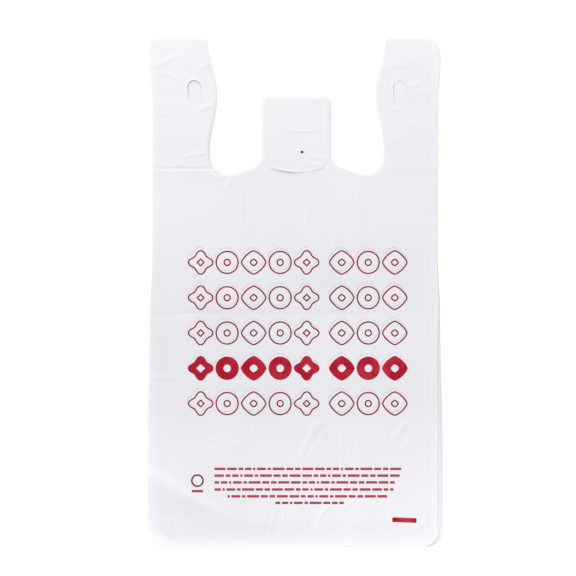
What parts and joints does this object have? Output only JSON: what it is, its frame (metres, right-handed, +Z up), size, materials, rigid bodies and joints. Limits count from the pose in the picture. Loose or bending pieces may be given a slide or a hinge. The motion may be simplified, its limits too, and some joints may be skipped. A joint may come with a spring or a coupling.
{
  "type": "t-shirt bag",
  "caption": "Flat thin-film carrier bag with side gussets, two handles cut from its top and a hang tab between them.",
  "frame": {"origin": "middle of the bag's outline, on the surface that the bag lies on", "axes": "+Y from the base weld towards the handles, +Z up out of the printed face, +X to the right of the print"},
  "size_m": [0.3096, 0.533, 0.0044],
  "materials": {
    "film": "satin translucent white film"
  },
  "bodies": {
    "root": {"bag": "film"}
  },
  "joints": []
}
